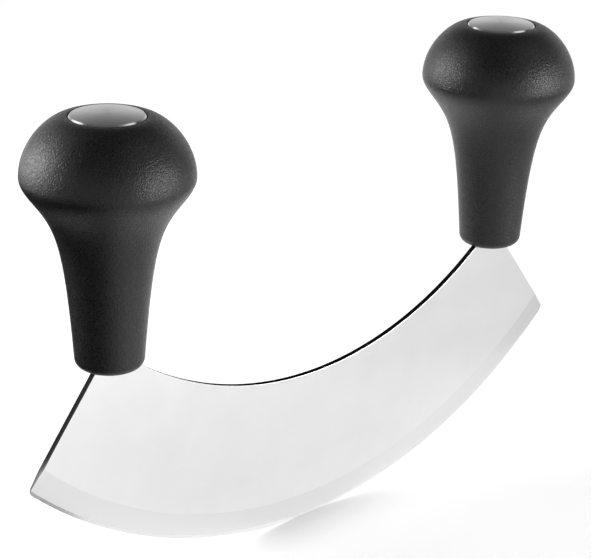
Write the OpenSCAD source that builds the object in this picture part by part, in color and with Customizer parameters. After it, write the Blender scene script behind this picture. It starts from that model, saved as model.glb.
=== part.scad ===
// Mezzaluna: a crescent blade with two upright knob handles.
// Millimetres, +Z up. X runs along the blade, Y is its thickness.
// The origin is the lowest point of the cutting edge, midway between the handles.

/* [Blade] */
// Length from tip corner to tip corner
blade_length = 180; // [176:1:184]
// Height of the crescent at the middle, from cutting edge to back
blade_height = 40; // [39:0.25:41]
// Radius of the cutting edge
edge_radius = 134.5; // [132:0.5:137]
// Radius of the hollow back of the crescent
back_radius = 100.5; // [99:0.5:102]
// Lean of the two straight ends from the vertical, in degrees
end_lean = 38; // [37:0.5:39]
// Rounding of the two tips
tip_radius = 1.5; // [1:0.1:2.5]
// Thickness of the sheet
blade_thickness = 1.5; // [1.4:0.1:1.6]
// Width of the ground bevel on each face
bevel_width = 6.5; // [4:0.5:9]
// Width of the fine cutting bevel along the edge
edge_bevel_width = 0.8; // [0.5:0.1:1.2]
// Thickness behind the fine cutting bevel
edge_shoulder = 0.45; // [0.3:0.05:0.6]
// Thickness left at the cutting edge
edge_land = 0.1; // [0.06:0.02:0.16]

/* [Handles] */
// Distance from one handle axis to the other
handle_spacing = 131.8; // [131:0.2:132.4]
// Height of the handles' feet above the lowest point of the edge
handle_seat = 59.7; // [59.5:0.1:59.9]
// Height of the plastic grip from foot to crown
grip_height = 60; // [59:0.5:61]
// Diameter of the knob at its widest
knob_diameter = 40; // [38:0.5:42]
// Height of the widest place above the foot
knob_centre = 46; // [45.5:0.25:46.5]
// Diameter of the stem just above its foot
foot_diameter = 16.4; // [16:0.2:17]
// Rounding of the foot
foot_rounding = 2.4; // [2:0.1:2.6]
// Thickness of the textured skin over the core
skin = 2.4; // [2.2:0.1:2.6]

/* [End caps] */
// Diameter of the metal end cap
cap_diameter = 17.5; // [17:0.1:18]
// Gap around the cap
cap_gap = 0.2; // [0.15:0.05:0.3]
// How far the cap's rim stands above the crown
cap_proud = 0.25; // [0.1:0.05:0.4]
// Rise of the cap from its rim to its middle
cap_dome = 0.6; // [0.3:0.1:0.9]

/* [Fixing] */
// Width of the flat tangs
tang_width = 8.6; // [8:0.1:8.6]
// Length of the tangs above the handles' feet
tang_length = 22; // [18:1:26]
// Outer diameter of the threaded studs
thread = 5; // [4.8:0.1:5]
// Clearance around tang and stud
clearance = 0.2; // [0.15:0.05:0.25]

/* [Hidden] */
$fn = 96;
curve_steps = 14;
overcut = 1;

// Blade
tip = [blade_length / 2, edge_radius - sqrt(pow(edge_radius, 2) - pow(blade_length / 2, 2))];
end_up = [-sin(end_lean), cos(end_lean)];
end_in = [-cos(end_lean), -sin(end_lean)];
end_reach = 60;
bevel_start = edge_radius - bevel_width;
handle_x = handle_spacing / 2;
// The tangs are ground a little thinner, from just under the feet, to enter their slots freely
tang_thickness = blade_thickness - 0.1;
tang_shoulder = handle_seat - 0.3;
tang_root = handle_seat - 5;

// Handle, measured from its foot
foot_radius = foot_diameter / 2;
knob_radius = knob_diameter / 2;
stem_flare = 4.2;
neck = [knob_radius - 4, knob_centre - 6.9];
neck_lean = 35.8;
mouth_radius = cap_diameter / 2 + cap_gap;
mouth_break = 0.2;
core_floor = 2.2;
core_top = grip_height - 2.2;
core_crown = [mouth_radius + 1.5, core_top];
flute_radius = 1.5;
flute_count = 4;
nut_well_radius = 6.05;
bore = thread + 2 * clearance;
slot_thickness = tang_thickness + 2 * clearance;
slot_half_width = tang_width / 2 + clearance;
// The back of the crescent enters the slot a little wider than the tang
slot_mouth = [handle_x - 59.5, 1.6];

// Fixing
nut_seat = knob_centre;
washer_diameter = 10;
washer_height = 1;
spring_diameter = 9.2;
spring_height = 1.2;
spring_split = 0.6;
nut_flats = 8;
nut_height = 4;
nut_chamfer = 0.4;
thread_play = 0.1;
spring_seat = nut_seat + washer_height;
nut_foot = spring_seat + spring_height;
stud_top = nut_foot + nut_height + 1.2;
stud_bottom = 0.6;
stud_chamfer = 0.6;

// End cap and its seal
seal_section = 1.2;
seal_radius = 7.6;
seal_groove = 0.9;
cap_radius = cap_diameter / 2;
cap_under = core_top - seal_groove + seal_section;
cap_rim = grip_height + cap_proud;
cap_chamfer = 0.35;
spigot_radius = 6;
spigot_wall = 1.1;
spigot_depth = 4.2;

// A point of the cubic curve from a to d that b and c pull on
function cubic(a, b, c, d, t) =
    pow(1 - t, 3) * a + 3 * pow(1 - t, 2) * t * b + 3 * (1 - t) * t * t * c + pow(t, 3) * d;

// The points of that curve after its first one
function curve(a, b, c, d) = [for (i = [1:curve_steps]) cubic(a, b, c, d, i / curve_steps)];

// An arc about a centre, from one angle to another
function arc(centre, radius, from, to, steps) =
    [for (a = [0:steps]) let (turn = from + (to - from) * a / steps) centre + radius * [cos(turn), sin(turn)]];

// Stem, neck and knob as one flowing line above the foot point, drawn in by inset
function handle_line(inset, foot, crown) =
    let (lean = [sin(neck_lean), cos(neck_lean)],
         bend = neck + inset * [-1, 0.6],
         widest = [knob_radius - inset, knob_centre],
         pull = 1 - inset / 14)
    concat(
        curve(foot, foot + 25 * [sin(stem_flare), cos(stem_flare)], bend - 7.6 * lean, bend),
        curve(bend, bend + 3.3 * pull * lean, widest - [0, 2.1 * pull], widest),
        curve(widest, widest + [0, 7.4 * pull], crown + [4.3, 0], crown));

// Draws a right-hand handle's piece in its place, or its mirror image on the left
module on_handle(side) {
    mirror([side == "left" ? 1 : 0, 0, 0])
        translate([handle_x, 0, handle_seat])
            children();
}

// The corner that rounding a tip takes off
module tip_corner() {
    // The rounding's centre lies tip_radius inside the straight end and inside the cutting edge
    inside = tip + tip_radius * end_in - [0, edge_radius];
    half = inside * end_up;
    along = -half - sqrt(half * half - inside * inside + pow(edge_radius - tip_radius, 2));
    from_centre = inside + along * end_up;
    outward = from_centre / norm(from_centre);
    centre = from_centre + [0, edge_radius];
    difference() {
        polygon([
            centre,
            centre - tip_radius * end_in,
            centre + 4 * tip_radius * (outward - end_in),
            centre + 1.5 * tip_radius * outward
        ]);
        translate(centre)
            circle(r = tip_radius, $fn = 48);
    }
}

// Flat outline of the crescent between its straight ends, open towards the cutting edge
module crescent() {
    outer = tip - end_reach * end_up;
    inner = tip + end_reach * end_up;
    difference() {
        polygon([outer, inner, [-inner[0], inner[1]], [-outer[0], outer[1]]]);
        translate([0, blade_height + back_radius])
            circle(r = back_radius, $fn = 360);
        for (side = [0, 1])
            mirror([side, 0])
                tip_corner();
    }
}

// Sheet of the given thickness that stands on edge about the plane Y = 0
module upright_sheet(thickness) {
    rotate([90, 0, 0])
        linear_extrude(height = thickness, center = true)
            children();
}

// Round disc that thins towards its rim as the blade does towards its cutting edge
module ground_disc() {
    half = [for (p = [[0, blade_thickness], [bevel_start, blade_thickness],
        [edge_radius - edge_bevel_width, edge_shoulder], [edge_radius, edge_land]]) [p[0], p[1] / 2]];
    translate([0, 0, edge_radius])
        rotate([90, 0, 0])
            rotate_extrude($fn = 360)
                polygon(concat(half, [for (i = [len(half) - 1:-1:0]) [half[i][0], -half[i][1]]]));
}

// Crescent blade with its two flat tangs, stamped from one sheet and ground on both faces
module blade() {
    color("gainsboro")
        intersection() {
            ground_disc();
            union() {
                difference() {
                    upright_sheet(blade_thickness)
                        crescent();
                    translate([-blade_length, -blade_thickness, tang_shoulder])
                        cube([2 * blade_length, 2 * blade_thickness, end_reach]);
                }
                upright_sheet(tang_thickness) {
                    crescent();
                    for (side = [-1, 1])
                        translate([side * handle_x - tang_width / 2, tang_root])
                            square([tang_width, handle_seat + tang_length - tang_root]);
                }
            }
        }
}

// Threaded stud whose split lower end straddles the tang and is welded to it
module tang_stud(side) {
    color("silver")
        on_handle(side)
            difference() {
                rotate_extrude()
                    polygon([
                        [0, stud_bottom],
                        [thread / 2, stud_bottom],
                        [thread / 2, stud_top - stud_chamfer],
                        [thread / 2 - stud_chamfer, stud_top],
                        [0, stud_top]
                    ]);
                translate([-thread, -tang_thickness / 2, -overcut])
                    cube([2 * thread, tang_thickness, tang_length + overcut]);
            }
}

// Outer form of the core, which is also the hollow that it leaves in the skin
module core_form() {
    foot = [foot_radius - skin, core_floor + 1];
    difference() {
        rotate_extrude()
            polygon(concat(
                [[0, core_floor], [foot[0] - 0.8, core_floor], foot],
                handle_line(skin, foot, core_crown),
                [[0, core_top]]));
        for (i = [0:flute_count - 1])
            rotate([0, 0, 45 + i * 360 / flute_count])
                translate([knob_radius - skin + 0.3, 0, neck[1] - 4])
                    cylinder(r = flute_radius, h = core_top - neck[1]);
    }
}

// Slot for the tang, wider at the foot where the back of the crescent enters
module tang_slot() {
    translate([-slot_half_width, -slot_thickness / 2, -overcut])
        cube([2 * slot_half_width, slot_thickness, tang_length + clearance + overcut]);
    translate([-slot_mouth[0], -slot_thickness / 2, -overcut])
        cube([slot_mouth[0], slot_thickness, slot_mouth[1] + overcut]);
}

// Hard core that carries the tang, the stud and the nut
module handle_core(side) {
    color("dimgray")
        on_handle(side)
            difference() {
                core_form();
                tang_slot();
                translate([0, 0, -overcut])
                    cylinder(d = bore, h = nut_seat + 2 * overcut);
                translate([0, 0, nut_seat])
                    cylinder(r = nut_well_radius, h = core_top);
                translate([0, 0, core_top - seal_groove])
                    difference() {
                        cylinder(r = seal_radius + seal_section / 2 + 0.05, h = overcut + seal_groove);
                        translate([0, 0, -overcut])
                            cylinder(r = seal_radius - seal_section / 2 - 0.05, h = seal_groove + 3 * overcut);
                    }
            }
}

// Textured skin that is moulded over the core and forms the stem, the knob and the crown
module grip(side) {
    foot_centre = [foot_radius - foot_rounding, foot_rounding];
    crown = [mouth_radius, grip_height];
    color([0.12, 0.12, 0.13])
        on_handle(side)
            difference() {
                rotate_extrude()
                    polygon(concat(
                        [[0, 0]],
                        arc(foot_centre, foot_rounding, -90, 0, 8),
                        handle_line(0, [foot_radius, foot_rounding], crown),
                        [[0, grip_height]]));
                core_form();
                tang_slot();
                translate([0, 0, -overcut])
                    cylinder(d = bore, h = core_floor + 2 * overcut);
                rotate_extrude()
                    polygon([
                        [0, core_top - mouth_break],
                        [mouth_radius, core_top - mouth_break],
                        [mouth_radius, grip_height - mouth_break],
                        [mouth_radius + mouth_break + overcut, grip_height + overcut],
                        [0, grip_height + overcut]
                    ]);
            }
}

// Plain washer on the floor of the nut's well
module plain_washer(side) {
    color("lightgray")
        on_handle(side)
            translate([0, 0, nut_seat])
                difference() {
                    cylinder(d = washer_diameter, h = washer_height);
                    translate([0, 0, -overcut])
                        cylinder(d = thread + 0.3, h = washer_height + 2 * overcut);
                }
}

// Split spring washer under the nut
module spring_washer(side) {
    color("slategray")
        on_handle(side)
            translate([0, 0, spring_seat])
                difference() {
                    cylinder(d = spring_diameter, h = spring_height);
                    translate([0, 0, -overcut])
                        cylinder(d = thread + 0.2, h = spring_height + 2 * overcut);
                    translate([0, -spring_split / 2, -overcut])
                        cube([spring_diameter, spring_split, spring_height + 2 * overcut]);
                }
}

// Hexagon nut that draws the handle down onto the blade
module hex_nut(side) {
    corner = nut_flats / sqrt(3);
    color("silver")
        on_handle(side)
            translate([0, 0, nut_foot])
                difference() {
                    intersection() {
                        cylinder(r = corner, h = nut_height, $fn = 6);
                        rotate_extrude()
                            polygon([
                                [0, 0],
                                [nut_flats / 2, 0],
                                [corner + 0.1, nut_chamfer],
                                [corner + 0.1, nut_height - nut_chamfer],
                                [nut_flats / 2, nut_height],
                                [0, nut_height]
                            ]);
                    }
                    translate([0, 0, -overcut])
                        cylinder(d = thread + thread_play, h = nut_height + 2 * overcut);
                }
}

// Rubber ring that keeps water out of the nut's well
module cap_seal(side) {
    color([0.05, 0.05, 0.05])
        on_handle(side)
            translate([0, 0, core_top - seal_groove + seal_section / 2])
                rotate_extrude()
                    translate([seal_radius, 0])
                        circle(d = seal_section, $fn = 32);
}

// Slightly domed metal cap whose spigot is pressed into the nut's well
module end_cap(side) {
    dome_edge = cap_radius - cap_chamfer;
    dome_radius = (pow(dome_edge, 2) + pow(cap_dome, 2)) / (2 * cap_dome);
    dome_centre = [0, cap_rim + cap_dome - dome_radius];
    color("darkgray")
        on_handle(side)
            rotate_extrude()
                polygon(concat(
                    [
                        [0, cap_under],
                        [spigot_radius - spigot_wall, cap_under],
                        [spigot_radius - spigot_wall, cap_under - spigot_depth],
                        [spigot_radius - cap_chamfer, cap_under - spigot_depth],
                        [spigot_radius, cap_under - spigot_depth + cap_chamfer],
                        [spigot_radius, cap_under],
                        [cap_radius, cap_under],
                        [cap_radius, cap_rim - cap_chamfer]
                    ],
                    arc(dome_centre, dome_radius, 90 - asin(dome_edge / dome_radius), 90, 10)));
}

blade();
tang_stud("left");  // tang_stud_left
tang_stud("right");  // tang_stud_right
handle_core("left");  // handle_core_left
handle_core("right");  // handle_core_right
grip("left");  // grip_left
grip("right");  // grip_right
plain_washer("left");  // plain_washer_left
plain_washer("right");  // plain_washer_right
spring_washer("left");  // spring_washer_left
spring_washer("right");  // spring_washer_right
hex_nut("left");  // hex_nut_left
hex_nut("right");  // hex_nut_right
cap_seal("left");  // cap_seal_left
cap_seal("right");  // cap_seal_right
end_cap("left");  // end_cap_left
end_cap("right");  // end_cap_right
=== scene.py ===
"""Looks of a mezzaluna on its packed frame: a crescent blade between two knob handles."""

import math

import bmesh
import bpy
from bpy.props import (
    FloatProperty,
    FloatVectorProperty,
    IntProperty,
    PointerProperty,
)
from bpy.types import Operator, Panel, PropertyGroup
from mathutils import Matrix, Vector


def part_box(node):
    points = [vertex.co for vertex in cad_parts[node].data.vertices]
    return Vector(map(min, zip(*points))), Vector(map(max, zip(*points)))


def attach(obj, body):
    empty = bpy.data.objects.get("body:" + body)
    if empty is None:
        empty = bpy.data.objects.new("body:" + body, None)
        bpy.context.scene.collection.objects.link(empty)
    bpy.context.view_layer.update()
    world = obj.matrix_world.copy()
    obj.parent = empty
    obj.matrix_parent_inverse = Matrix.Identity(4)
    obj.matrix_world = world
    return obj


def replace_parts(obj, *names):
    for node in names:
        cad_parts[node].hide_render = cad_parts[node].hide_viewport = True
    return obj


bl_info = {
    "name": "Mezzaluna Looks",
    "version": (1, 0, 0),
    "blender": (4, 5, 0),
    "location": "View3D > Sidebar > Mezzaluna",
    "description": "Dresses the packed mezzaluna with its blade, grips, caps and studio",
    "category": "Object",
}

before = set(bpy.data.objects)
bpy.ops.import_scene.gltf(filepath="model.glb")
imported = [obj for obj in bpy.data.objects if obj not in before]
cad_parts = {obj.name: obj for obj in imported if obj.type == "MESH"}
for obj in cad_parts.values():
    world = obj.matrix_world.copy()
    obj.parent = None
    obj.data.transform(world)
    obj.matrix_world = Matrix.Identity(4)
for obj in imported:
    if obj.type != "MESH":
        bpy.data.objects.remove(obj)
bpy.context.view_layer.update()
GRIP_LOW, GRIP_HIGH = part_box("grip_right")
CAP_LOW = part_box("end_cap_right")[0]
BLADE_LOW, BLADE_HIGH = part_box("blade")
SIDES = {"left": -1, "right": 1}
MM = 0.001


# Sizes and finishes


def length(name, description, default, **more):
    """A length in metres that the sidebar shows with its unit."""
    return FloatProperty(
        name=name, description=description, default=default, unit="LENGTH", precision=5, **more
    )


def share(name, description, default):
    """A number from 0 to 1."""
    return FloatProperty(
        name=name, description=description, default=default, min=0, max=1, subtype="FACTOR"
    )


def colour(name, description, default):
    """A linear colour."""
    return FloatVectorProperty(
        name=name, description=description, default=default, size=3, min=0, max=1, subtype="COLOR"
    )


def turn(name, description, degrees):
    """An angle that the sidebar shows in degrees."""
    return FloatProperty(
        name=name, description=description, default=math.radians(degrees), unit="ROTATION"
    )


class MezzalunaBladeSizes(PropertyGroup):
    """Sizes of the crescent blade"""

    length: length("Length", "From tip corner to tip corner", 0.180)
    height: length("Height", "From the cutting edge to the back, at the middle", 0.040)
    edge_radius: length("Edge Radius", "Radius of the cutting edge", 0.1345)
    back_radius: length("Back Radius", "Radius of the hollow back", 0.1005)
    end_lean: turn("End Lean", "Lean of the straight ends from the vertical", 38)
    tip_radius: length("Tip Radius", "Rounding of the two tips", 0.0015)
    thickness: length("Thickness", "Thickness of the sheet", BLADE_HIGH.y - BLADE_LOW.y)
    bevel_width: length("Bevel Width", "Width of the ground bevel", 0.0065)
    edge_bevel_width: length("Edge Bevel Width", "Width of the fine cutting bevel", 0.0008)
    edge_shoulder: length("Edge Shoulder", "Thickness behind the cutting bevel", 0.00045)
    edge_land: length("Edge Land", "Thickness left at the cutting edge", 0.0001)
    stamped_break: length("Stamped Break", "Rounding along the stamped edges", 0.00009)
    tang_width: length("Tang Width", "Width of the flat tangs", 0.0086)
    tang_length: length("Tang Length", "Length of the tangs above the handles' feet", 0.022)
    tang_relief: length("Tang Relief", "How much thinner the tangs are than the sheet", 0.0001)


class MezzalunaHandleSizes(PropertyGroup):
    """Sizes of the knob handles, with heights above their feet"""

    reach: length("Reach", "From the blade's middle to a handle's axis", (GRIP_LOW.x + GRIP_HIGH.x) / 2)
    seat: length("Seat", "Height of the handles' feet", GRIP_LOW.z)
    height: length("Height", "From foot to crown", GRIP_HIGH.z - GRIP_LOW.z)
    knob_radius: length("Knob Radius", "Radius of the knob at its widest", 0.020)
    knob_centre: length("Knob Centre", "Height of the widest place", 0.046)
    foot_radius: length("Foot Radius", "Radius of the stem above its foot", 0.0082)
    foot_rounding: length("Foot Rounding", "Rounding of the foot", 0.0024)
    neck_inset: length("Neck Inset", "From the neck out to the knob's widest place", 0.004)
    neck_drop: length("Neck Drop", "From the neck up to the knob's widest place", 0.0069)
    stem_flare: turn("Stem Flare", "Lean of the stem's side at its foot", 4.2)
    neck_lean: turn("Neck Lean", "Lean of the side where stem meets knob", 35.8)
    skin: length("Skin", "Thickness of the skin over the core", 0.0024)
    core_cover: length("Core Cover", "How far the core stops short of foot and crown", 0.0022)
    stud_bore: length("Stud Bore", "Radius of the hole for the stud", 0.0027)
    slot_play: length("Slot Play", "Room around the tang", 0.0002)
    cap_radius: length("Cap Radius", "Radius of the metal end cap", 0.00875)
    cap_gap: length("Cap Gap", "Gap around the end cap", 0.0002)
    cap_proud: length("Cap Proud", "Rise of the cap's rim over the crown", 0.00025)
    cap_dome: length("Cap Dome", "Rise of the cap from rim to middle", 0.0006)
    cap_chamfer: length("Cap Chamfer", "Bevel around the cap", 0.00035)
    steps: IntProperty(name="Steps", description="Steps around a handle", default=160, min=24, max=360)


class MezzalunaFinishes(PropertyGroup):
    """Colours and finishes"""

    blade: colour("Blade", "Ground stainless steel", (0.72, 0.72, 0.725))
    blade_roughness: share("Blade Roughness", "Roughness of the ground faces", 0.30)
    bevel_tone: share("Bevel Tone", "Brightness of the bevel against the flat face", 0.935)
    stamped: colour("Stamped Edge", "Bare stamped edges of the sheet", (0.02, 0.02, 0.0205))
    grip: colour("Grip", "Black moulded plastic", (0.004, 0.004, 0.0042))
    grip_roughness: share("Grip Roughness", "Roughness of the grained skin", 0.34)
    grain: length("Grain", "Spacing of the moulded grain", 0.00037)
    cap: colour("Cap", "Turned stainless steel", (0.56, 0.56, 0.565))
    cap_roughness: share("Cap Roughness", "Roughness of the turned caps", 0.2)
    cap_rings: share("Cap Rings", "How far the turned rings spread a reflection", 0.7)
    core: colour("Core", "Structural plastic inside the handles", (0.05, 0.05, 0.055))
    fixing: colour("Fixing", "Studs, washers and nuts", (0.62, 0.62, 0.62))
    spring: colour("Spring", "Spring washers", (0.42, 0.43, 0.45))
    seal: colour("Seal", "Rubber seals", (0.012, 0.012, 0.013))


class MezzalunaStudio(PropertyGroup):
    """Camera, floor and light"""

    camera: FloatVectorProperty(
        name="Camera",
        description="Where the camera stands",
        default=(-0.35682, -0.36107, 0.25622),
        size=3,
        subtype="TRANSLATION",
        unit="LENGTH",
        precision=5,
    )
    heading: turn("Heading", "Turn of the view from +Y towards +X", 44.114)
    pitch: turn("Pitch", "How far the view looks down", 20.667)
    roll: turn("Roll", "Roll of the camera", 1.308)
    lens: FloatProperty(name="Lens", description="Focal length in mm on a 36 mm sensor", default=132.14)
    floor: colour("Floor", "Plain pale floor", (0.9, 0.9, 0.9))
    floor_white: share("Floor White", "Plain white that the view adds to the lit floor", 0.5)
    # Reach and grey of the painted contact shadow that the floor shows under the edge.
    contact_reach: length("Contact Reach", "How far the contact shadow reaches", 0.022)
    painted_shadow_tone: share("Painted Shadow Tone", "Grey of the floor right under the edge", 0.5)


GROUPS = {
    "mezzaluna_blade": MezzalunaBladeSizes,
    "mezzaluna_handle": MezzalunaHandleSizes,
    "mezzaluna_finish": MezzalunaFinishes,
    "mezzaluna_studio": MezzalunaStudio,
}


# Shader maths


class Signal:
    """A number that a shader works out at each point, for plain arithmetic."""

    def __init__(self, finish, socket):
        self.finish = finish
        self.socket = socket

    def _with(self, operation, first, second=None):
        """Adds one Math node."""
        values = {0: first} if second is None else {0: first, 1: second}
        return self.finish.node("ShaderNodeMath", {"operation": operation}, values)[0]

    def __add__(self, other):
        return self._with("ADD", self, other)

    def __radd__(self, other):
        return self._with("ADD", other, self)

    def __sub__(self, other):
        return self._with("SUBTRACT", self, other)

    def __rsub__(self, other):
        return self._with("SUBTRACT", other, self)

    def __mul__(self, other):
        return self._with("MULTIPLY", self, other)

    def __rmul__(self, other):
        return self._with("MULTIPLY", other, self)

    def __truediv__(self, other):
        return self._with("DIVIDE", self, other)

    def __rtruediv__(self, other):
        return self._with("DIVIDE", other, self)

    def __gt__(self, other):
        return self._with("GREATER_THAN", self, other)

    def __lt__(self, other):
        return self._with("LESS_THAN", self, other)

    def __abs__(self):
        return self._with("ABSOLUTE", self)

    def root(self):
        """Square root."""
        return self._with("SQRT", self)

    def angle_from(self, other):
        """Angle of the point (other, self) about the origin."""
        return self._with("ARCTAN2", self, other)

    def within(self, low, high):
        """Smooth step: 0 below low, 1 above high."""
        settings = {"interpolation_type": "SMOOTHSTEP"}
        sockets = {"Value": self, "From Min": low, "From Max": high}
        return self.finish.node("ShaderNodeMapRange", settings, sockets)["Result"]


class Finish:
    """A material, or the world, and the nodes that make it up."""

    def __init__(self, name=None, tree=None):
        if tree is None:
            self.material = bpy.data.materials.new(name)
            self.material.use_nodes = True
            tree = self.material.node_tree
        self.tree = tree
        tree.nodes.clear()

    def node(self, kind, settings, sockets):
        """Adds a node: its settings first, then its sockets' values or links. Gives its outputs."""
        made = self.tree.nodes.new(kind)
        for name, value in settings.items():
            setattr(made, name, value)
        for name, value in sockets.items():
            socket = made.inputs[name]
            if isinstance(value, Signal):
                self.tree.links.new(value.socket, socket)
            else:
                socket.default_value = value
        return Outputs(self, made)

    def ramp(self, value, stops):
        """Brightness along stops of (place, level)."""
        out = self.node("ShaderNodeValToRGB", {}, {"Fac": value})
        elements = out.made.color_ramp.elements
        for place, level in stops[1:-1]:
            elements.new(place)
        for element, (place, level) in zip(elements, stops):
            element.position = place
            element.color = (level, level, level, 1)
        return out["Color"]

    def place(self):
        """The point on the surface in the row frame, in millimetres."""
        point = self.node("ShaderNodeTexCoord", {}, {})["Object"]
        sockets = {0: point, "Scale": 1 / MM}
        return self.node("ShaderNodeVectorMath", {"operation": "SCALE"}, sockets)["Vector"]

    def split(self, vector):
        """The three parts of a vector."""
        out = self.node("ShaderNodeSeparateXYZ", {}, {"Vector": vector})
        return out["X"], out["Y"], out["Z"]

    def join(self, x, y, z):
        """A vector of three parts."""
        return self.node("ShaderNodeCombineXYZ", {}, {"X": x, "Y": y, "Z": z})["Vector"]

    def noise(self, vector, scale, detail=2.0, rough=0.5):
        """Cloudy noise from 0 to 1, with scale blotches to the vector's unit."""
        sockets = {"Vector": vector, "Scale": scale, "Detail": detail, "Roughness": rough}
        return self.node("ShaderNodeTexNoise", {"noise_dimensions": "3D"}, sockets)["Fac"]

    def blend(self, share, first, second):
        """A colour between two colours."""
        settings = {"data_type": "RGBA", "clamp_factor": True}
        return self.node("ShaderNodeMix", settings, {0: share, 6: first, 7: second})[2]

    def bump(self, height, depth):
        """Normal of a height of 0 to 1, depth metres high."""
        sockets = {"Height": height, "Strength": 1.0, "Distance": depth}
        return self.node("ShaderNodeBump", {}, sockets)["Normal"]

    def glow(self, level, strength):
        """Plain light of one grey level."""
        sockets = {"Color": (level, level, level, 1), "Strength": strength}
        return self.node("ShaderNodeEmission", {}, sockets)["Emission"]

    def either(self, share, first, second):
        """A shader between two shaders."""
        return self.node("ShaderNodeMixShader", {}, {0: share, 1: first, 2: second})["Shader"]

    def surface(self, sockets):
        """Ends the material in one shader."""
        shader = self.node("ShaderNodeBsdfPrincipled", {}, sockets)["BSDF"]
        self.node("ShaderNodeOutputMaterial", {}, {"Surface": shader})
        return self.material


class Outputs:
    """A node's outputs, by name or number."""

    def __init__(self, finish, made):
        self.finish = finish
        self.made = made

    def __getitem__(self, name):
        return Signal(self.finish, self.made.outputs[name])


def shade(tone, level):
    """A colour made lighter or darker, with full alpha."""
    return (*(c * level for c in tone), 1)


# Finishes


def ground_steel(finishes, blade):
    """Satin ground faces, with the bevel ground across the edge."""
    steel = Finish("ground_steel")
    point = steel.place()
    x, y, z = steel.split(point)
    drop = z - blade.edge_radius / MM
    radius = (x * x + drop * drop).root()
    along = x.angle_from(drop) * (blade.edge_radius / MM)
    bevel = radius > (blade.edge_radius - blade.bevel_width) / MM
    fine = radius > (blade.edge_radius - blade.edge_bevel_width) / MM
    clouds = steel.noise(point, 0.09, 3.0, 0.6)
    flat_marks = steel.noise(steel.join(x * 0.08, y, z * 3.0), 1.0, 3.0, 0.6)
    bevel_marks = steel.noise(steel.join(along * 2.4, radius * 0.1, 0.0), 1.0, 2.0, 0.5)
    marks = flat_marks + bevel * (bevel_marks - flat_marks)
    dull, bright = shade(finishes.blade, 0.95), shade(finishes.blade, 1.05)
    tone = steel.blend(clouds * 0.7 + marks * 0.3, dull, bright)
    tone = steel.blend(bevel - fine * 0.5, tone, shade(finishes.blade, finishes.bevel_tone))
    rough = finishes.blade_roughness
    roughness = rough - 0.03 + clouds * 0.04 + marks * 0.02 - fine * 0.06
    relief = marks + steel.noise(point, 0.3, 2.0, 0.5) * 3
    return steel.surface(
        {
            "Base Color": tone,
            "Metallic": 1.0,
            "Roughness": roughness,
            "Normal": steel.bump(relief, 0.0012 * MM),
        }
    )


def stamped_steel(finishes):
    """Bare stamped edge: smooth near one face, torn towards the other, with a painted highlight that
    makes it lighter towards the tips.
    """
    steel = Finish("stamped_steel")
    point = steel.place()
    x, y, z = steel.split(point)
    torn = y.within(-0.25, 0.35)
    # The tip mask carries a painted highlight: the stamped edge turns lighter towards the blade's tips.
    tip = abs(x).within(BLADE_HIGH.x / MM - 5.5, BLADE_HIGH.x / MM - 2.0)
    streaks = steel.noise(steel.join(x * 4, y * 0.8, z * 4), 1.0, 3.0, 0.6)
    pits = steel.noise(point, 5.0, 3.0, 0.65)
    smooth_tone, torn_tone = shade(finishes.stamped, 1.1), shade(finishes.stamped, 0.6)
    tone = steel.blend(torn * 0.5 + pits * 0.4, smooth_tone, torn_tone)
    tone = steel.blend(tip * 0.8, tone, shade(finishes.stamped, 5))
    return steel.surface(
        {
            "Base Color": tone,
            "Metallic": 1.0,
            "Roughness": 0.36 + torn * 0.14 + pits * 0.1,
            "Specular Tint": (0.1, 0.1, 0.1, 1),
            "Normal": steel.bump(streaks + torn * pits * 1.5, 0.03 * MM),
        }
    )


def grained_plastic(finishes):
    """Black skin with the fine grain of a spark-eroded mould, worn a little smoother in patches."""
    plastic = Finish("grained_plastic")
    point = plastic.place()
    pitch = finishes.grain / MM
    grain = plastic.noise(point, 1 / pitch, 1.5, 0.6)
    wear = plastic.noise(point, 0.07, 3.0, 0.6)
    specks = plastic.noise(point, 1.3 / pitch, 1.0, 0.5).within(0.3, 0.7)
    hollow, crest = shade(finishes.grip, 0.2), shade(finishes.grip, 2.4)
    tone = plastic.blend(specks * 0.8 + wear * 0.2, hollow, crest)
    return plastic.surface(
        {
            "Base Color": tone,
            "Roughness": finishes.grip_roughness - 0.15 + specks * 0.2 + wear * 0.1,
            "Specular IOR Level": 0.36,
            "Normal": plastic.bump(grain, 0.17 * MM),
        }
    )


def turned_steel(finishes, handle):
    """Face-turned cap with fine rings about the handle's axis."""
    steel = Finish("turned_steel")
    point = steel.place()
    x, y, z = steel.split(point)
    off = abs(x) - handle.reach / MM
    radius = (off * off + y * y).root()
    rings = steel.noise(steel.join(radius * 7.0, z * 2.0, 0), 1.0, 3.0, 0.7)
    clouds = steel.noise(point, 0.25, 2.0, 0.5)
    dull, bright = shade(finishes.cap, 0.93), shade(finishes.cap, 1.07)
    tone = steel.blend(rings * 0.6 + clouds * 0.4, dull, bright)
    return steel.surface(
        {
            "Base Color": tone,
            "Metallic": 1.0,
            "Roughness": finishes.cap_roughness - 0.04 + rings * 0.06 + clouds * 0.03,
            "Anisotropic": finishes.cap_rings,
            "Anisotropic Rotation": 0.25,
            "Normal": steel.bump(rings, 0.004 * MM),
        }
    )


def core_plastic(finishes):
    """Dark structural plastic with faint flow marks."""
    plastic = Finish("core_plastic")
    point = plastic.place()
    flow = plastic.noise(point, 0.18, 4.0, 0.6)
    fine = plastic.noise(point, 4.0, 2.0, 0.5)
    tone = plastic.blend(flow, shade(finishes.core, 0.75), shade(finishes.core, 1.25))
    return plastic.surface(
        {
            "Base Color": tone,
            "Roughness": 0.38 + flow * 0.15,
            "Normal": plastic.bump(fine, 0.01 * MM),
        }
    )


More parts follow.
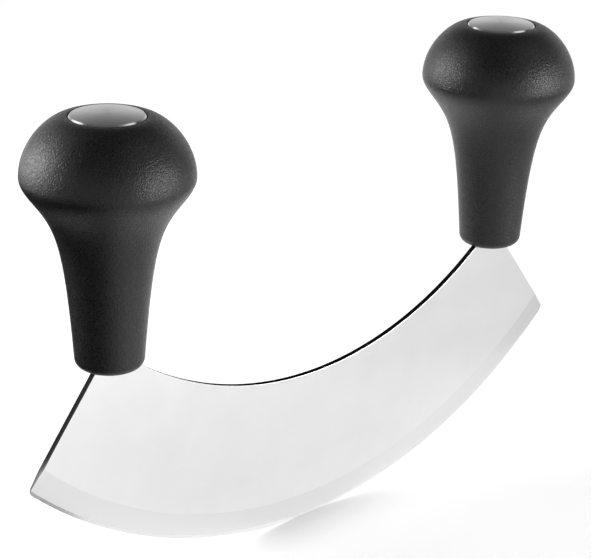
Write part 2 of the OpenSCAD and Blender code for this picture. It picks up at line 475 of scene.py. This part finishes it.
def bright_steel(name, tone, lines):
    """Plain fixing steel with fine turned or rolled lines along its height."""
    steel = Finish(name)
    point = steel.place()
    x, y, z = steel.split(point)
    rolled = steel.noise(steel.join(x * 0.6, y * 0.6, z * lines), 1.0, 3.0, 0.6)
    stains = steel.noise(point, 0.5, 3.0, 0.6)
    mixed = steel.blend(rolled * 0.5 + stains * 0.5, shade(tone, 0.85), shade(tone, 1.12))
    return steel.surface(
        {
            "Base Color": mixed,
            "Metallic": 1.0,
            "Roughness": 0.24 + rolled * 0.12 + stains * 0.06,
            "Normal": steel.bump(rolled, 0.012 * MM),
        }
    )


def seal_rubber(finishes):
    """Matt black rubber with a light bloom."""
    rubber = Finish("seal_rubber")
    point = rubber.place()
    bloom = rubber.noise(point, 0.8, 3.0, 0.6)
    skin = rubber.noise(point, 9.0, 2.0, 0.5)
    tone = rubber.blend(bloom, shade(finishes.seal, 0.8), shade(finishes.seal, 1.9))
    return rubber.surface(
        {
            "Base Color": tone,
            "Roughness": 0.62 + bloom * 0.2,
            "Normal": rubber.bump(skin, 0.015 * MM),
        }
    )


def seen(paper):
    """1 for what the camera, a reflection or a glass shows, and 0 for light on surfaces."""
    rays = paper.node("ShaderNodeLightPath", {}, {})
    return rays["Is Camera Ray"] + rays["Is Glossy Ray"] + rays["Is Transmission Ray"] > 0.5


def pale_paper(studio):
    """Plain pale floor that turns white in the view but keeps the object's shadow, with a painted
    contact shadow (a grey fed by ambient occlusion) under the edge.
    """
    paper = Finish("pale_paper")
    point = paper.place()
    x, y, z = paper.split(point)
    fibre = paper.noise(point, 0.6, 3.0, 0.6)
    tone = paper.blend(fibre, shade(studio.floor, 0.99), shade(studio.floor, 1.01))
    lit = paper.node("ShaderNodeBsdfDiffuse", {}, {"Color": tone})["BSDF"]
    white = paper.glow(1, studio.floor_white)
    whitened = paper.node("ShaderNodeAddShader", {}, {0: lit, 1: white})["Shader"]
    view = paper.node("ShaderNodeLightPath", {}, {})["Is Camera Ray"]
    sockets = {"Distance": studio.contact_reach}
    open_sky = paper.node("ShaderNodeAmbientOcclusion", {}, sockets)["AO"]
    # Painted contact shadow: a grey glow, fed by ambient occlusion, that the camera sees along a given
    # stretch under the edge.
    painted_shadow_stretch = x.within(-42, -10) * (1 - x.within(-4, 56))
    contact = (1 - open_sky).within(0.0, 0.62) * painted_shadow_stretch * view * 0.8
    far = (x * x + y * y).root().within(200, 550) * view
    pale = paper.either(contact, whitened, paper.glow(studio.painted_shadow_tone, 1.0))
    pale = paper.either(far, pale, paper.glow(1, 1.0))
    mixed = paper.either(seen(paper), lit, pale)
    paper.node("ShaderNodeOutputMaterial", {}, {"Surface": mixed})
    return paper.material


def reflection_card_paper(name, tone, glow, left, right):
    """Matt card of a grey tone, with a glow that fades from its left end to its right one; only
    reflections see it, so its grey and its glow are painted reflections.
    """
    paper = Finish(name)
    point = paper.place()
    x, y, z = paper.split(point)
    weave = paper.noise(point, 0.8, 2.0, 0.5)
    fade = (x - left / MM) / ((right - left) / MM)
    grey = (tone, tone, tone)
    return paper.surface(
        {
            "Base Color": paper.blend(weave, shade(grey, 0.98), shade(grey, 1.02)),
            "Roughness": 0.9,
            "Emission Color": paper.blend(fade, (1, 1, 1, 1), (0, 0, 0, 1)),
            "Emission Strength": glow,
        }
    )


# Outlines and solids


def arc(centre, radius, start, end, steps):
    """Points of an arc between two angles, both ends included."""
    turns = (start + (end - start) * i / steps for i in range(steps + 1))
    return [(centre[0] + radius * math.cos(t), centre[1] + radius * math.sin(t)) for t in turns]


def cubic(a, b, c, d, steps):
    """Points of the cubic curve from a to d that b and c pull on, without its first one."""
    points = []
    for i in range(1, steps + 1):
        t = i / steps
        weights = ((1 - t) ** 3, 3 * (1 - t) ** 2 * t, 3 * (1 - t) * t * t, t**3)
        points.append(tuple(sum(w * p[k] for w, p in zip(weights, (a, b, c, d))) for k in (0, 1)))
    return points


def handle_line(handle, inset, foot, crown, steps):
    """Stem, neck and knob as one flowing line above the foot point, drawn in by inset."""
    lean = Vector((math.sin(handle.neck_lean), math.cos(handle.neck_lean)))
    flare = Vector((math.sin(handle.stem_flare), math.cos(handle.stem_flare)))
    up, out = Vector((0, 1)), Vector((1, 0))
    neck = Vector((handle.knob_radius - handle.neck_inset, handle.knob_centre - handle.neck_drop))
    bend = neck + inset * (0.6 * up - out)
    widest = Vector((handle.knob_radius - inset, handle.knob_centre))
    foot, crown = Vector(foot), Vector(crown)
    stem_pull, bend_pull = 25 * MM, 7.6 * MM
    crown_pull = 4.3 * MM
    shrink = 1 - inset / (14 * MM)
    under_pull, widest_pull, over_pull = 3.3 * MM * shrink, 2.1 * MM * shrink, 7.4 * MM * shrink
    stem = cubic(foot, foot + stem_pull * flare, bend - bend_pull * lean, bend, steps)
    under = cubic(bend, bend + under_pull * lean, widest - widest_pull * up, widest, steps // 2)
    over = cubic(widest, widest + over_pull * up, crown + crown_pull * out, crown, steps)
    return stem + under + over


def solid(name, work):
    """A mesh object from a bmesh."""
    bmesh.ops.recalc_face_normals(work, faces=work.faces)
    mesh = bpy.data.meshes.new(name)
    work.to_mesh(mesh)
    work.free()
    made = bpy.data.objects.new(name, mesh)
    bpy.context.scene.collection.objects.link(made)
    return made


def turned(name, profile, steps):
    """Solid of revolution about Z of a closed profile of (radius, height)."""
    work = bmesh.new()
    rings = []
    for radius, height in profile:
        if radius < 1e-7:
            rings.append([work.verts.new((0, 0, height))] * steps)
        else:
            rings.append(
                [
                    work.verts.new((*(radius * c for c in (math.cos(t), math.sin(t))), height))
                    for t in (math.tau * i / steps for i in range(steps))
                ]
            )
    for ring, following in zip(rings, rings[1:] + rings[:1]):
        for i in range(steps):
            j = (i + 1) % steps
            corners = list(dict.fromkeys((ring[i], ring[j], following[j], following[i])))
            if len(corners) > 2:
                work.faces.new(corners)
    return solid(name, work)


def slab(name, outline, thickness, rounding, segments=3):
    """Upright sheet of a closed (x, z) outline about Y = 0, with its edges rounded."""
    work = bmesh.new()
    count = len(outline)
    area = sum(a[0] * b[1] - b[0] * a[1] for a, b in zip(outline, outline[1:] + outline[:1]))
    inward = 1 if area > 0 else -1
    mitres = []
    for i, here in enumerate(outline):
        here = Vector(here)
        before = (here - Vector(outline[i - 1])).normalized()
        after = (Vector(outline[(i + 1) % count]) - here).normalized()
        normal = Vector((-before.y - after.y, before.x + after.x)) * inward
        normal.normalize()
        spread = max(0.5, normal.dot(Vector((-before.y, before.x)) * inward))
        mitres.append(normal / spread)
    half = thickness / 2
    section = [(rounding, half)]
    if rounding > 0:
        for i in range(1, segments + 1):
            t = math.pi / 2 * i / segments
            section.append((rounding * (1 - math.sin(t)), half - rounding * (1 - math.cos(t))))
    section += [(inset, -depth) for inset, depth in reversed(section)]
    rings = [
        [
            work.verts.new((x + mitre.x * inset, depth, z + mitre.y * inset))
            for (x, z), mitre in zip(outline, mitres)
        ]
        for inset, depth in section
    ]
    for ring, following in zip(rings, rings[1:]):
        for i in range(count):
            j = (i + 1) % count
            work.faces.new((ring[i], ring[j], following[j], following[i]))
    work.faces.new(rings[0])
    work.faces.new(rings[-1])
    return solid(name, work)


def carved(piece, tool, operation):
    """The piece cut by the tool, or kept only inside it. The tool is used up."""
    cut = piece.modifiers.new("cut", "BOOLEAN")
    cut.object = tool
    cut.operation = operation
    cut.solver = "EXACT"
    bpy.context.view_layer.update()
    shaped = bpy.data.meshes.new_from_object(piece.evaluated_get(bpy.context.evaluated_depsgraph_get()))
    piece.modifiers.clear()
    piece.data = shaped
    bpy.data.objects.remove(tool)
    if not shaped.polygons:
        raise RuntimeError(f"cutting {piece.name} left nothing")
    return piece


def crisp(piece, sharp_angle, also_sharp=lambda edge: False):
    """Smooth shading with creases at the piece's own edges."""
    work = bmesh.new()
    work.from_mesh(piece.data)
    bmesh.ops.remove_doubles(work, verts=work.verts, dist=1e-7)
    bmesh.ops.dissolve_degenerate(work, edges=work.edges, dist=1e-7)
    for face in work.faces:
        face.smooth = True
    for edge in work.edges:
        folded = not edge.is_manifold or edge.calc_face_angle(0) > sharp_angle
        edge.smooth = not (folded or also_sharp(edge))
    work.to_mesh(piece.data)
    work.free()


def dress(piece, *materials):
    """Gives a piece its finishes."""
    piece.data.materials.clear()
    for material in materials:
        piece.data.materials.append(material)


def keep(nodes, material):
    """A finish for CAD nodes that stay as they are."""
    for node in nodes:
        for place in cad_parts[node].material_slots:
            place.material = material


# Blade


def blade_outline(blade, handle):
    """Outline of crescent and tangs, left open past the cutting edge."""
    half = blade.length / 2
    rim = blade.edge_radius
    tip = Vector((half, rim - math.sqrt(rim**2 - half**2)))
    up = Vector((-math.sin(blade.end_lean), math.cos(blade.end_lean)))
    inward = Vector((-math.cos(blade.end_lean), -math.sin(blade.end_lean)))
    inside = tip + blade.tip_radius * inward - Vector((0, rim))
    part = inside.dot(up)
    along = -part - math.sqrt(part**2 - inside.dot(inside) + (rim - blade.tip_radius) ** 2)
    from_centre = inside + along * up
    corner = from_centre + Vector((0, rim))
    lower = math.atan2(from_centre.y, from_centre.x)
    upper = math.atan2(-inward.y, -inward.x)
    rounding = arc(corner, blade.tip_radius, lower, upper, 12)
    past_edge = rim + 2 * MM
    sweep = arc((0, rim), past_edge, -math.pi / 2, lower, 120)
    tang_out = handle.reach + blade.tang_width / 2
    tang_in = handle.reach - blade.tang_width / 2
    tang_top = handle.seat + blade.tang_length
    end_top = tip + up * ((tip.x - tang_out) / -up.x)
    back_centre = blade.height + blade.back_radius
    meet = math.asin(tang_in / blade.back_radius)
    back = arc((0, back_centre), blade.back_radius, meet - math.pi / 2, -math.pi / 2, 90)
    tang = [tuple(end_top), (tang_out, tang_top), (tang_in, tang_top)]
    right = sweep + rounding + tang + back
    left = [(-x, z) for x, z in reversed(right[1:-1])]
    return right + left


def ground_disc(blade):
    """Round disc that thins to its rim as the blade does to its cutting edge."""
    shoulder = blade.edge_radius - blade.edge_bevel_width
    slope = (blade.thickness - blade.edge_shoulder) / 2 / (blade.bevel_width - blade.edge_bevel_width)
    carried_in = 30 * MM
    deep = blade.edge_shoulder / 2 + slope * carried_in
    half = [
        (0, deep),
        (shoulder - carried_in, deep),
        (shoulder, blade.edge_shoulder / 2),
        (blade.edge_radius, blade.edge_land / 2),
    ]
    disc = turned("ground_disc", half + [(r, -y) for r, y in reversed(half)], 720)
    disc.data.transform(Matrix.Rotation(math.pi / 2, 4, "X"))
    disc.data.transform(Matrix.Translation((0, 0, blade.edge_radius)))
    return disc


class MEZZALUNA_OT_blade(Operator):
    """Stamped and ground crescent blade with its two tangs"""

    bl_idname = "mezzaluna.blade"
    bl_label = "Blade"

    def execute(self, context):
        scene = context.scene
        blade, handle, finishes = scene.mezzaluna_blade, scene.mezzaluna_handle, scene.mezzaluna_finish
        outline = blade_outline(blade, handle)
        piece = slab("crescent_blade", outline, blade.thickness, blade.stamped_break)
        self.relieve(piece, blade, handle)
        carved(piece, ground_disc(blade), "INTERSECT")
        lines = [blade.edge_radius - w for w in (0, blade.edge_bevel_width, blade.bevel_width)]

        def radius(corner):
            return math.hypot(corner.co.x, corner.co.z - blade.edge_radius)

        def on_line(edge):
            level = any(abs(face.normal.y) > 0.99999 for face in edge.link_faces)
            return level or any(all(abs(radius(v) - line) < 5e-6 for v in edge.verts) for line in lines)

        crisp(piece, math.radians(40), on_line)
        dress(piece, ground_steel(finishes, blade), stamped_steel(finishes))
        # The walls of the sheet are bare, up to where the rounded tips run into the ground edge
        bare_within = blade.edge_radius - 0.9 * MM
        for face in piece.data.polygons:
            off_centre = math.hypot(face.center.x, face.center.z - blade.edge_radius)
            face.material_index = int(abs(face.normal.y) < 0.75 and off_centre < bare_within)
        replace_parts(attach(piece, "root"), "blade")
        return {"FINISHED"}

    def relieve(self, piece, blade, handle):
        """Thins the tangs a little from just under the feet."""
        work = bmesh.new()
        work.from_mesh(piece.data)
        shoulder, step = handle.seat - 0.3 * MM, 0.05 * MM
        for height in (shoulder, shoulder + step):
            parts = work.verts[:] + work.edges[:] + work.faces[:]
            level = (0, 0, height)
            bmesh.ops.bisect_plane(work, geom=parts, plane_co=level, plane_no=(0, 0, 1), dist=1e-7)
        for corner in work.verts:
            if corner.co.z > shoulder + 0.8 * step:
                corner.co.y *= 1 - blade.tang_relief / blade.thickness
        work.to_mesh(piece.data)
        work.free()


# Handles


class MEZZALUNA_OT_grips(Operator):
    """Grained skins that form both stems and knobs"""

    bl_idname = "mezzaluna.grips"
    bl_label = "Grips"

    def execute(self, context):
        scene = context.scene
        blade, handle = scene.mezzaluna_blade, scene.mezzaluna_handle
        plastic = grained_plastic(scene.mezzaluna_finish)
        profile = self.profile(handle)
        for side, sign in SIDES.items():
            piece = turned(f"grip_skin_{side}", profile, handle.steps)
            carved(piece, self.slot(blade, handle), "DIFFERENCE")
            crisp(piece, math.radians(30))
            if sign < 0:
                piece.data.transform(Matrix.Rotation(math.pi, 4, "Z"))
            piece.data.transform(Matrix.Translation((sign * handle.reach, 0, handle.seat)))
            dress(piece, plastic)
            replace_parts(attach(piece, "root"), f"grip_{side}")
        return {"FINISHED"}

    def profile(self, handle):
        """Closed section of the skin, from the foot up the outside and down the inside."""
        rounding = handle.foot_rounding
        mouth = handle.cap_radius + handle.cap_gap
        core_top = handle.height - handle.core_cover
        core_floor = handle.core_cover
        bore = handle.stud_bore
        lip = 0.25 * MM
        foot = arc((handle.foot_radius - rounding, rounding), rounding, -math.pi / 2, 0, 10)
        crown = (mouth + lip, handle.height)
        outside = handle_line(handle, 0, foot[-1], crown, 40)
        mouth_edge = arc((mouth + lip, handle.height - lip), lip, math.pi / 2, math.pi, 4)
        recess = [(mouth, core_top), (mouth + 1.5 * MM, core_top)]
        inner_foot = (handle.foot_radius - handle.skin, core_floor + 1 * MM)
        inside = handle_line(handle, handle.skin, inner_foot, recess[1], 16)[:-1]
        floor = [(inner_foot[0] - 0.8 * MM, core_floor), (bore, core_floor), (bore, 0)]
        return foot + outside[:-1] + mouth_edge + recess + inside[::-1] + [inner_foot] + floor

    def slot(self, blade, handle):
        """Slot for the tang, wider at the foot where the back of the crescent enters."""
        half = blade.tang_width / 2 + handle.slot_play
        mouth, high = handle.reach - 59.5 * MM, 1.6 * MM
        low, top = -1 * MM, 4 * MM
        outline = [(-mouth, low), (half, low), (half, top), (-half, top), (-half, high), (-mouth, high)]
        return slab("tang_slot", outline, blade.thickness - blade.tang_relief + 2 * handle.slot_play, 0)


class MEZZALUNA_OT_end_caps(Operator):
    """Domed, turned metal caps with their spigots"""

    bl_idname = "mezzaluna.end_caps"
    bl_label = "End Caps"

    def execute(self, context):
        handle, finishes = context.scene.mezzaluna_handle, context.scene.mezzaluna_finish
        steel = turned_steel(finishes, handle)
        for side, sign in SIDES.items():
            piece = turned(f"turned_cap_{side}", self.profile(handle), handle.steps * 2)
            crisp(piece, math.radians(30))
            piece.data.transform(Matrix.Translation((sign * handle.reach, 0, handle.seat)))
            dress(piece, steel)
            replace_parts(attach(piece, "root"), f"end_cap_{side}")
        return {"FINISHED"}

    def profile(self, handle):
        """Closed section of the cap: spigot, rim, chamfer and dome."""
        spigot, wall, depth = 6 * MM, 1.1 * MM, 4.2 * MM
        foot = CAP_LOW.z - handle.seat
        under = foot + depth
        under_break = 0.1 * MM
        rim = handle.height + handle.cap_proud
        chamfer = handle.cap_chamfer
        edge = handle.cap_radius - chamfer
        rise = handle.cap_dome
        sweep = (edge**2 + rise**2) / (2 * rise)
        lean = math.asin(edge / sweep)
        dome = arc((0, rim + rise - sweep), sweep, math.pi / 2 - lean, math.pi / 2, 24)
        dome[-1] = (0, dome[-1][1])
        lower = [
            (0, under),
            (spigot - wall, under),
            (spigot - wall, foot),
            (spigot - chamfer, foot),
            (spigot, foot + chamfer),
            (spigot, under),
            (handle.cap_radius - under_break, under),
            (handle.cap_radius, under + under_break),
            (handle.cap_radius, rim - chamfer),
        ]
        return lower + dome


class MEZZALUNA_OT_cores(Operator):
    """Finish of the two cores inside the grips"""

    bl_idname = "mezzaluna.cores"
    bl_label = "Cores"

    def execute(self, context):
        keep(("handle_core_left", "handle_core_right"), core_plastic(context.scene.mezzaluna_finish))
        return {"FINISHED"}


class MEZZALUNA_OT_fixings(Operator):
    """Finish of studs, washers and nuts"""

    bl_idname = "mezzaluna.fixings"
    bl_label = "Fixings"

    def execute(self, context):
        finishes = context.scene.mezzaluna_finish
        threaded = bright_steel("stud_steel", finishes.fixing, 7.8)
        plain = bright_steel("nut_steel", finishes.fixing, 3.0)
        spring = bright_steel("spring_steel", finishes.spring, 4.0)
        for side in SIDES:
            keep((f"tang_stud_{side}",), threaded)
            keep((f"plain_washer_{side}", f"hex_nut_{side}"), plain)
            keep((f"spring_washer_{side}",), spring)
        return {"FINISHED"}


class MEZZALUNA_OT_seals(Operator):
    """Finish of the rubber rings under the caps"""

    bl_idname = "mezzaluna.seals"
    bl_label = "Seals"

    def execute(self, context):
        keep(("cap_seal_left", "cap_seal_right"), seal_rubber(context.scene.mezzaluna_finish))
        return {"FINISHED"}


# Studio


class MEZZALUNA_OT_studio(Operator):
    """Pale floor, soft studio light and the camera"""

    bl_idname = "mezzaluna.studio"
    bl_label = "Studio"

    def execute(self, context):
        scene = context.scene
        studio = scene.mezzaluna_studio
        scene.view_settings.view_transform = "Standard"
        self.camera(scene, studio)
        self.floor(studio)
        self.sky(scene, studio)
        # Cards that only reflections see: painted dark reflections behind and in front at left, and a
        # painted glowing reflection at right that fades from left to right.
        behind_left = [(-0.09, -0.012), (-0.086, 0.04), (0.17, 0.4), (-0.45, 0.4), (-0.45, -0.18)]
        front_left = [
            (-0.064, -0.026),
            (-0.066, -0.001),
            (-0.085, 0.02),
            (-0.09, -0.012),
            (-0.45, -0.18),
            (-0.45, -0.4),
            (-0.34, -0.4),
            (-0.1, -0.07),
        ]
        front_right = [(0.04, -0.3), (0.04, -0.085), (0.2, 0.045), (0.35, 0.045), (0.35, -0.3)]
        self.card("dark_reflection_card", 0.012, 0.0, behind_left)
        self.card("grey_reflection_card", 0.35, 0.0, front_left)
        self.card("glowing_reflection_card", studio.floor[0] * 0.8, studio.floor_white, front_right)
        self.softbox("right_softbox", 150, 6, 1.0, (0.5, 0.26), 6.5)
        self.softbox("near_softbox", 164, -4, 0.42, (0.3, 0.1), 0.28)
        self.softbox("left_softbox", 326, 12, 1.0, (0.6, 0.42), 8.5)
        self.softbox("left_top_light", 330, 38, 1.0, (1.0, 0.3), 1.5)
        self.softbox("right_top_light", 145, 52, 1.0, (0.9, 0.3), 1.0)
        return {"FINISHED"}

    def camera(self, scene, studio):
        """The camera, from its heading, pitch and roll."""
        turned_by, down = studio.heading, studio.pitch
        ahead = Vector(
            (
                math.sin(turned_by) * math.cos(down),
                math.cos(turned_by) * math.cos(down),
                -math.sin(down),
            )
        )
        across = Vector((math.cos(turned_by), -math.sin(turned_by), 0))
        up = across.cross(ahead)
        sine, cosine = math.sin(studio.roll), math.cos(studio.roll)
        right, top = across * cosine + up * sine, up * cosine - across * sine
        lens = bpy.data.cameras.new("studio_camera")
        lens.lens = studio.lens
        lens.sensor_width = 36
        lens.sensor_fit = "HORIZONTAL"
        lens.clip_start, lens.clip_end = 0.01, 50
        body = bpy.data.objects.new("studio_camera", lens)
        facing = Matrix((right, top, -ahead)).transposed().to_4x4()
        body.matrix_world = Matrix.Translation(studio.camera) @ facing
        scene.collection.objects.link(body)
        scene.camera = body

    def floor(self, studio):
        """Wide floor under the cutting edge."""
        work = bmesh.new()
        bmesh.ops.create_grid(work, x_segments=24, y_segments=24, size=6)
        ground = solid("studio_floor", work)
        dress(ground, pale_paper(studio))

    def card(self, name, tone, glow, corners):
        """Sheet just over the floor beside the view that only reflections see: a painted reflection."""
        work = bmesh.new()
        work.faces.new([work.verts.new((*corner, 1 * MM)) for corner in corners])
        sheet = solid(name, work)
        left, right = (pick(corner[0] for corner in corners) for pick in (min, max))
        dress(sheet, reflection_card_paper(name, tone, glow, left, right))
        # Hidden from the camera, from diffuse light and from shadows, so it only paints reflections.
        sheet.visible_camera = sheet.visible_diffuse = sheet.visible_shadow = False

    def sky(self, scene, studio):
        """Bright near the horizon and dark overhead; white where the camera sees it."""
        world = bpy.data.worlds.new("studio_sky")
        world.use_nodes = True
        scene.world = world
        sky = Finish(tree=world.node_tree)
        direction = sky.node("ShaderNodeTexCoord", {}, {})["Generated"]
        x, y, z = sky.split(direction)
        stops = [
            (0.0, 1.0),
            (0.1, 0.92),
            (0.21, 0.72),
            (0.35, 0.42),
            (0.5, 0.18),
            (0.6, 0.09),
            (0.8, 0.14),
            (1.0, 0.14),
        ]
        view = sky.node("ShaderNodeLightPath", {}, {})["Is Camera Ray"]
        ceiling = sky.node("ShaderNodeBackground", {}, {"Color": sky.ramp(z, stops)})["Background"]
        white = sky.node("ShaderNodeBackground", {}, {"Color": (1, 1, 1, 1)})["Background"]
        sky.node("ShaderNodeOutputWorld", {}, {"Surface": sky.either(view, ceiling, white)})

    def softbox(self, name, bearing, height, distance, size, power):
        """A soft lamp that faces the handles.

        The bearing turns from +Y towards +X, the height is an angle above the handles' middle,
        distance and size are in metres, and power is in watts.
        """
        around, above = math.radians(bearing), math.radians(height)
        aim = Vector((0, 0, 0.08))
        level = math.cos(above)
        away = Vector((math.sin(around) * level, math.cos(around) * level, math.sin(above)))
        place = aim + distance * away
        lamp = bpy.data.lights.new(name, "AREA")
        lamp.shape = "RECTANGLE"
        lamp.size, lamp.size_y = size
        lamp.energy = power
        stand = bpy.data.objects.new(name, lamp)
        stand.location = place
        stand.rotation_mode = "QUATERNION"
        stand.rotation_quaternion = (-away).to_track_quat("-Z", "Y")
        bpy.context.scene.collection.objects.link(stand)


# Panel and run

OPERATORS = (
    MEZZALUNA_OT_blade,
    MEZZALUNA_OT_grips,
    MEZZALUNA_OT_end_caps,
    MEZZALUNA_OT_cores,
    MEZZALUNA_OT_fixings,
    MEZZALUNA_OT_seals,
    MEZZALUNA_OT_studio,
)


class MEZZALUNA_PT_looks(Panel):
    """Sizes, finishes and pieces of the mezzaluna"""

    bl_label = "Mezzaluna"
    bl_idname = "MEZZALUNA_PT_looks"
    bl_space_type = "VIEW_3D"
    bl_region_type = "UI"
    bl_category = "Mezzaluna"

    def draw(self, context):
        layout = self.layout
        layout.use_property_split = True
        for name, group in GROUPS.items():
            box = layout.box()
            box.label(text=group.__doc__)
            for field in group.__annotations__:
                box.prop(getattr(context.scene, name), field)
        for operator in OPERATORS:
            layout.operator(operator.bl_idname)


def register():
    """Adds the groups, operators and panel."""
    for group in GROUPS.values():
        bpy.utils.register_class(group)
    for name, group in GROUPS.items():
        setattr(bpy.types.Scene, name, PointerProperty(type=group))
    for made in (*OPERATORS, MEZZALUNA_PT_looks):
        bpy.utils.register_class(made)


def unregister():
    """Takes them out again, in reverse order."""
    for made in (MEZZALUNA_PT_looks, *reversed(OPERATORS)):
        bpy.utils.unregister_class(made)
    for name in GROUPS:
        delattr(bpy.types.Scene, name)
    for group in reversed(GROUPS.values()):
        bpy.utils.unregister_class(group)


def main():
    """Makes every piece in order."""
    register()
    for operator in OPERATORS:
        place, name = operator.bl_idname.split(".")
        getattr(getattr(bpy.ops, place), name)()


if __name__ == "__main__":
    main()
